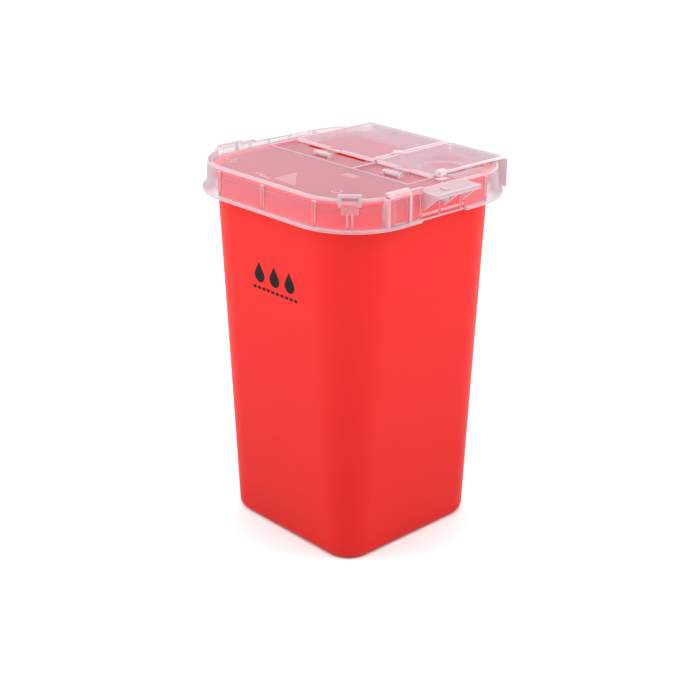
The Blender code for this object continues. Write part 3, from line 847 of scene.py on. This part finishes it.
def openings(lid):
    """Drop opening, round port in its collar, slots in front of the flaps, snap post, and a glossy pad
    under the small flap's ear that is a painted reflection of the ear.
    """
    add(lid, port_collar())
    bore = ((PORT_RADIUS, COLLAR_BOTTOM - 1.0), (PORT_RADIUS, DECK_TOP + 1.0))
    port = drum(PORT_CENTRE, bore, THIN, (THIN, THIN), PORT_STEPS)
    half_x = (DROP_X[1] - DROP_X[0]) / 2
    half_y = (DROP_Y[1] - DROP_Y[0]) / 2
    centre = (DROP_X[0] + half_x, DROP_Y[0] + half_y)
    levels = (DECK_UNDER - 1.0, DECK_TOP + 1.0)
    rings = [rounded_ring(half_x, half_y, DROP_CORNER, z, centre, 10) for z in levels]
    drop = loft(rings, EDGE, (EDGE, EDGE))
    small_slot = block(SMALL_SLOT_X, (DROP_Y[0] - 0.4, SLOT_BACK), levels, EDGE, EDGE, 0.0)
    cut(lid, joined([port, drop, small_slot]))
    cut(lid, block(SLOT_X, (DROP_Y[0], SLOT_BACK), levels, EDGE, EDGE, 0.0))
    add(lid, snap_post())
    # painted reflection: a glossy pad where the ear's reflection falls on the deck
    add(lid, block(EAR_REFLECTION_PAD_X, EAR_REFLECTION_PAD_Y, (DECK_TOP - 0.2, EAR_REFLECTION_PAD_TOP), GLOSS, GLOSS, 0.2))


def hinge_seat(lid, lug_x):
    """Window in the channel floor with two cheeks and the moulded pin that the flap turns on."""
    half = KNUCKLE_LENGTH / 2 + KNUCKLE_GAP
    reach_y = KNUCKLE_RADIUS + 0.5
    window_y = (HINGE_Y - reach_y, HINGE_Y + reach_y)
    window_z = (DECK_UNDER - 1.0, CHANNEL_FLOOR + 1.0)
    cut(lid, block((lug_x - half, lug_x + half), window_y, window_z, EDGE, EDGE, 0.0))
    outline = [(HINGE_Y - CHEEK_HALF, DECK_UNDER + 0.2)]
    for step in range(9):
        angle = pi - step * pi / 8
        outline.append((HINGE_Y + CHEEK_HALF * cos(angle), HINGE_Z + (CHEEK_TOP - HINGE_Z) * sin(angle)))
    outline.append((HINGE_Y + CHEEK_HALF, DECK_UNDER + 0.2))
    for side in (-1, 1):
        inner = lug_x + side * (half - 0.04)
        cheek = sorted((inner, inner + side * CHEEK_THICK))
        add(lid, prism(outline, cheek[0], cheek[1], "X", GLOSS, GLOSS, 0.2))
    reach = half + CHEEK_THICK / 2
    add(lid, rod((lug_x - reach, lug_x + reach), HINGE_Y, HINGE_Z, PIN_RADIUS))


def deck_marks():
    """Faint raised marks on the deck: moulding rings, a rectangle and a broad end pad, with bars that are
    painted highlights and a triangle that is a painted reflection.
    """
    low = DECK_TOP - 0.2
    tools = []
    for centre, radius in RING_MARKS:
        profile = ((radius, low), (radius, DECK_TOP + 0.12), (radius - 0.3, DECK_TOP + 0.2))
        tools.append(drum(centre, profile, BAND, (BROAD, BROAD), 28))
    # painted highlights: bars with a denser finish
    for x, y in PAINTED_HIGHLIGHT_BARS:
        tools.append(block(x, y, (low, DECK_TOP + 0.3), BAND, EDGE, 0.1))
    tools.append(block(*PANEL_MARK, (low, DECK_TOP + 0.14), FROST, FROST, 0.1))
    # painted reflection: a frosted triangle
    tools.append(prism(PAINTED_REFLECTION_TRIANGLE, low, DECK_TOP + 0.15, "Z", FROST, BAND, 0.12))
    tools.append(block(*END_PAD, (low, DECK_TOP + 0.16), FROST, FROST, 0.12))
    return tools


def lid(materials):
    """The lid with everything moulded in one with it."""
    obj = lid_shell()
    straighten_skirt(obj)
    add(obj, joined(wall_ribs()))
    latch_tabs(obj)
    add(obj, joined(gussets()))
    add(obj, thumb_shelf())
    corner_loop(obj)
    channel(obj)
    openings(obj)
    for lug_x in (LARGE_LUG_X, SMALL_LUG_X):
        hinge_seat(obj, lug_x)
    add(obj, joined(deck_marks()))
    add(obj, joined(tab_pillars()))
    return finish_piece(obj, "lid_moulding", "lid", "lid_base", materials, LID_Z)


# ---- flaps ----------------------------------------------------------------------------------------
FLAP_Z = (12.75, 13.7)
FLAP_FRONT = 5.5
FLAP_BACK = 53.0
FLAP_LIP_BOTTOM = 12.1
FLAP_LIP_THICK = 1.2
LARGE_FLAP_X = (-41.7, 7.1)
SMALL_FLAP_X = (9.3, 42.1)
BACK_WALL_BOTTOM = -0.3
BACK_WALL_THICK = 1.05
SHOULDER_DEEP = 3.0
SHOULDER_DROP = 1.7
EAR_TOP = 15.7
EAR_ROUND = 0.9
LARGE_EAR = ((-41.7, -40.0), (FLAP_FRONT, 11.5))
SMALL_EAR = ((42.0, 44.9), (6.6, 11.6))
SIDE_BAR_INSET = 0.45
SIDE_BAR_HALF = 0.4
SIDE_BAR_BACK = 49.0


def flap_outline():
    """Side view of a flap as (y, z): front lip, top plate, rounded shoulder and back wall."""
    under, top = FLAP_Z
    shoulder = FLAP_BACK - SHOULDER_DEEP
    deep = SHOULDER_DEEP - BACK_WALL_THICK
    outer = []
    inner = []
    for angle in quarter(8):
        outer.append((shoulder + SHOULDER_DEEP * sin(angle), top - SHOULDER_DROP * (1 - cos(angle))))
        inner.append((shoulder + deep * sin(angle), under - (SHOULDER_DROP - 0.4) * (1 - cos(angle))))
    lip = FLAP_LIP_BOTTOM
    front = [(FLAP_FRONT + FLAP_LIP_THICK, under), (FLAP_FRONT + FLAP_LIP_THICK, lip), (FLAP_FRONT, lip)]
    back = [(FLAP_BACK, BACK_WALL_BOTTOM), (FLAP_BACK - BACK_WALL_THICK, BACK_WALL_BOTTOM)]
    return front + [(FLAP_FRONT, top)] + outer + back + inner[::-1]


def paint_flap(obj):
    """Give the lip and the side ends the edge material, and the back wall the broad one."""
    lip = (FLAP_FRONT - 0.3, FLAP_FRONT + FLAP_LIP_THICK + 0.05)
    for polygon in obj.data.polygons:
        centre = polygon.center
        normal = polygon.normal
        if polygon.material_index == PLATE and (lip[0] < centre.y < lip[1] or abs(normal.x) > 0.9):
            polygon.material_index = EDGE
        elif abs(normal.y) > 0.9 and centre.y > FLAP_BACK - 2.0:
            polygon.material_index = BROAD


def flap(name, body, node, x_range, lug_x, ear, materials):
    """One flap: plate with its back wall, hinge arm and knuckle, corner ear and post notch."""
    under, top = FLAP_Z
    half = KNUCKLE_LENGTH / 2
    lug = (lug_x - half, lug_x + half)
    leaf = prism(flap_outline(), x_range[0], x_range[1], "X", PLATE, EDGE, 0.18)
    paint_flap(leaf)
    add(leaf, block(lug, (HINGE_Y + 0.4, FLAP_FRONT + 1.0), (under, top), THIN, BAND, 0.2))
    add(leaf, rod(lug, HINGE_Y, HINGE_Z, KNUCKLE_RADIUS, BAND))
    cut(leaf, rod((lug[0] - 1.0, lug[1] + 1.0), HINGE_Y, HINGE_Z, KNUCKLE_BORE))
    clear = POST_RADIUS + 0.4
    cut(leaf, drum(POST_CENTRE, ((clear, under - 2.0), (clear, top + 2.0)), EDGE, (EDGE, EDGE)))
    bars = []
    bar_y = (FLAP_FRONT + 2.0, SIDE_BAR_BACK)
    bar_z = (under + 0.1, top + 0.22)
    for x in (x_range[0] + SIDE_BAR_INSET, x_range[1] - SIDE_BAR_INSET):
        bars.append(block((x - SIDE_BAR_HALF, x + SIDE_BAR_HALF), bar_y, bar_z, BAND, EDGE, 0.2))
    add(leaf, joined(bars))
    add(leaf, block(*ear, (under, EAR_TOP), EDGE, GLOSS, EAR_ROUND, 4))
    return finish_piece(leaf, name, body, node, materials, LID_Z)


# ---- print ----------------------------------------------------------------------------------------
PRINT_LEFT = -12.6
PRINT_RIGHT = 15.6
PRINT_LOW = 116.3
INK_DROP_PITCH = 9.6
INK_DROP_LOW = PRINT_LOW + 3.2
INK_DROP_RADIUS = 3.1
INK_DROP_TALL = 9.2
DASHES = 10
DASH_GAP = 1.0
DASH_TALL = 1.3
INK_THICK = 0.05


def on_front(points, sink):
    """Stand flat (x, z) points on the tub's leaning front wall, sunk into it by a distance."""
    lean = (SKIRT_HALF[1] - BASE_HALF[1]) / LID_Z
    placed = []
    for x, z in points:
        placed.append(Vector((x, -(BASE_HALF[1] + lean * z) + sink, z)))
    return placed


def ink_drop(x):
    """Outline of a drop: a point on top of most of a circle."""
    outline = [(x, INK_DROP_LOW + INK_DROP_TALL)]
    z = INK_DROP_LOW + INK_DROP_RADIUS
    for step in range(25):
        angle = radians(150 + 240 * step / 24)
        outline.append((x + INK_DROP_RADIUS * cos(angle), z + INK_DROP_RADIUS * sin(angle)))
    return outline


def front_print(materials):
    """Plain printed mark: three drops over a row of dashes."""
    middle = (PRINT_LEFT + PRINT_RIGHT) / 2
    shapes = [ink_drop(x) for x in (middle - INK_DROP_PITCH, middle, middle + INK_DROP_PITCH)]
    pitch = (PRINT_RIGHT - PRINT_LEFT + DASH_GAP) / DASHES
    top = PRINT_LOW + DASH_TALL
    for i in range(DASHES):
        left = PRINT_LEFT + pitch * i
        right = left + pitch - DASH_GAP
        shapes.append([(left, PRINT_LOW), (right, PRINT_LOW), (right, top), (left, top)])
    builder = bmesh.new()
    for shape in shapes:
        low = [builder.verts.new(p) for p in on_front(shape, INK_THICK)]
        high = [builder.verts.new(p) for p in on_front(shape, -INK_THICK)]
        count = len(shape)
        builder.faces.new(low)
        builder.faces.new(high)
        for i in range(count):
            j = (i + 1) % count
            builder.faces.new((low[i], low[j], high[j], high[i]))
    obj = new_object("print", builder)
    return finish_piece(obj, "front_print", "tub", None, materials)


# ---- stage ----------------------------------------------------------------------------------------
FLOOR_HALF = 12000.0
FLOOR_SINK = 0.05
FLOOR_REACH = 2.0               # metres from the object
FLOOR_TONES = ((0.0, 0.90), (0.2, 0.86), (0.5, 0.72), (0.8, 0.71), (1.4, 0.82), (2.0, 0.87))
FAR_FLOOR = (1.9, 3.6)          # metres; past the top light the floor stays pale by a glow of its own
FAR_GLOW = 0.85
WORLD_LIGHT = 0.5
BODY_AIM = (0.0, 0.0, 0.14)
SIDE_BOX = ((0.5, 0.5), 3.2)    # size in metres, power in watts
TOP_BOX = ((6.0, 6.0), 165.0)


def floor_finish():
    """Pale seamless floor; its tone falls a little behind the object, where the top light is strongest."""
    material, tree, shader, place = node_tree("pale_floor")
    length = tree.nodes.new("ShaderNodeVectorMath")
    length.operation = "LENGTH"
    tree.links.new(place, length.inputs[0])
    patch = remap(tree, noise(tree, place, 2.0, 2.0), -0.01, 0.01)
    reach = remap(tree, length.outputs["Value"], 0.0, 1.0, 0.0, FLOOR_REACH)
    ramp = tree.nodes.new("ShaderNodeValToRGB")
    stops = ramp.color_ramp.elements
    while len(stops) < len(FLOOR_TONES):
        stops.new(0.5)
    for stop, (distance, tone) in zip(stops, FLOOR_TONES):
        stop.position = distance / FLOOR_REACH
        stop.color = (tone, tone, tone, 1.0)
    tree.links.new(arithmetic(tree, "ADD", reach, patch), ramp.inputs["Fac"])
    tree.links.new(ramp.outputs["Color"], shader.inputs["Base Color"])
    shader.inputs["Emission Color"].default_value = (1.0, 1.0, 1.0, 1.0)
    glow = remap(tree, length.outputs["Value"], 0.0, FAR_GLOW, *FAR_FLOOR)
    tree.links.new(glow, shader.inputs["Emission Strength"])
    shader.inputs["Roughness"].default_value = 0.9
    shader.inputs["Specular IOR Level"].default_value = 0.1
    return material


def floor_plane():
    """Broad floor just under the object."""
    builder = bmesh.new()
    corners = []
    for sx, sy in ((-1, -1), (1, -1), (1, 1), (-1, 1)):
        corners.append(builder.verts.new((sx * FLOOR_HALF, sy * FLOOR_HALF, -FLOOR_SINK)))
    builder.faces.new(corners)
    obj = new_object("floor", builder)
    obj.data.transform(Matrix.Scale(MM, 4))
    obj.data.materials.clear()
    obj.data.materials.append(floor_finish())


def softbox(name, place, aim, size, power):
    """Square area lamp that looks at a point."""
    lamp = bpy.data.lights.new(name, "AREA")
    lamp.shape = "RECTANGLE"
    lamp.size, lamp.size_y = size
    lamp.energy = power
    obj = bpy.data.objects.new(name, lamp)
    obj.location = place
    obj.rotation_euler = (Vector(aim) - Vector(place)).to_track_quat("-Z", "Y").to_euler()
    bpy.context.scene.collection.objects.link(obj)


def studio():
    """White surroundings, a softbox on each side and a broad light overhead."""
    world = bpy.data.worlds.new("studio")
    bpy.context.scene.world = world
    world.use_nodes = True
    back = world.node_tree.nodes["Background"]
    back.inputs["Color"].default_value = (1.0, 1.0, 1.0, 1.0)
    back.inputs["Strength"].default_value = WORLD_LIGHT
    softbox("left_box", (-0.50, -0.62, 0.62), BODY_AIM, *SIDE_BOX)
    softbox("right_box", (0.62, 0.50, 0.62), BODY_AIM, *SIDE_BOX)
    softbox("top_box", (0.0, 0.0, 2.6), (0.0, 0.0, 0.0), *TOP_BOX)
    scene = bpy.context.scene
    scene.view_settings.view_transform = "Standard"
    scene.view_settings.look = "None"


# ---- camera ---------------------------------------------------------------------------------------
CAMERA_AZIMUTH = 46.743         # degrees, fitted to the photograph with the place and the lens
CAMERA_ELEVATION = 22.345
CAMERA_ROLL = 0.282
CAMERA_PLACE = (0.44457, -0.41913, 0.32935)
CAMERA_LENS = 75.49
CAMERA_SENSOR = 36.0


def camera():
    """The photograph's own view."""
    azimuth, elevation, roll = (radians(a) for a in (CAMERA_AZIMUTH, CAMERA_ELEVATION, CAMERA_ROLL))
    back = Vector((sin(azimuth) * cos(elevation), -cos(azimuth) * cos(elevation), sin(elevation)))
    right = Vector((cos(azimuth), sin(azimuth), 0.0))
    up = back.cross(right)
    right_rolled = right * cos(roll) + up * sin(roll)
    up_rolled = up * cos(roll) - right * sin(roll)
    data = bpy.data.cameras.new("camera")
    data.lens = CAMERA_LENS
    data.sensor_width = CAMERA_SENSOR
    data.clip_start = 0.01
    obj = bpy.data.objects.new("camera", data)
    turn = Matrix((right_rolled, up_rolled, back)).transposed().to_4x4()
    obj.matrix_world = Matrix.Translation(CAMERA_PLACE) @ turn
    bpy.context.scene.collection.objects.link(obj)
    bpy.context.scene.camera = obj


camera()
studio()
floor_plane()
lid_materials = lid_finishes()
flap_materials = flap_finishes()
tub(tub_finishes())
lid(lid_materials)
flap("large_flap_moulding", "drop_flap", "large_flap", LARGE_FLAP_X, LARGE_LUG_X, LARGE_EAR, flap_materials)
flap("small_flap_moulding", "port_flap", "small_flap", SMALL_FLAP_X, SMALL_LUG_X, SMALL_EAR, flap_materials)
front_print([ink()])
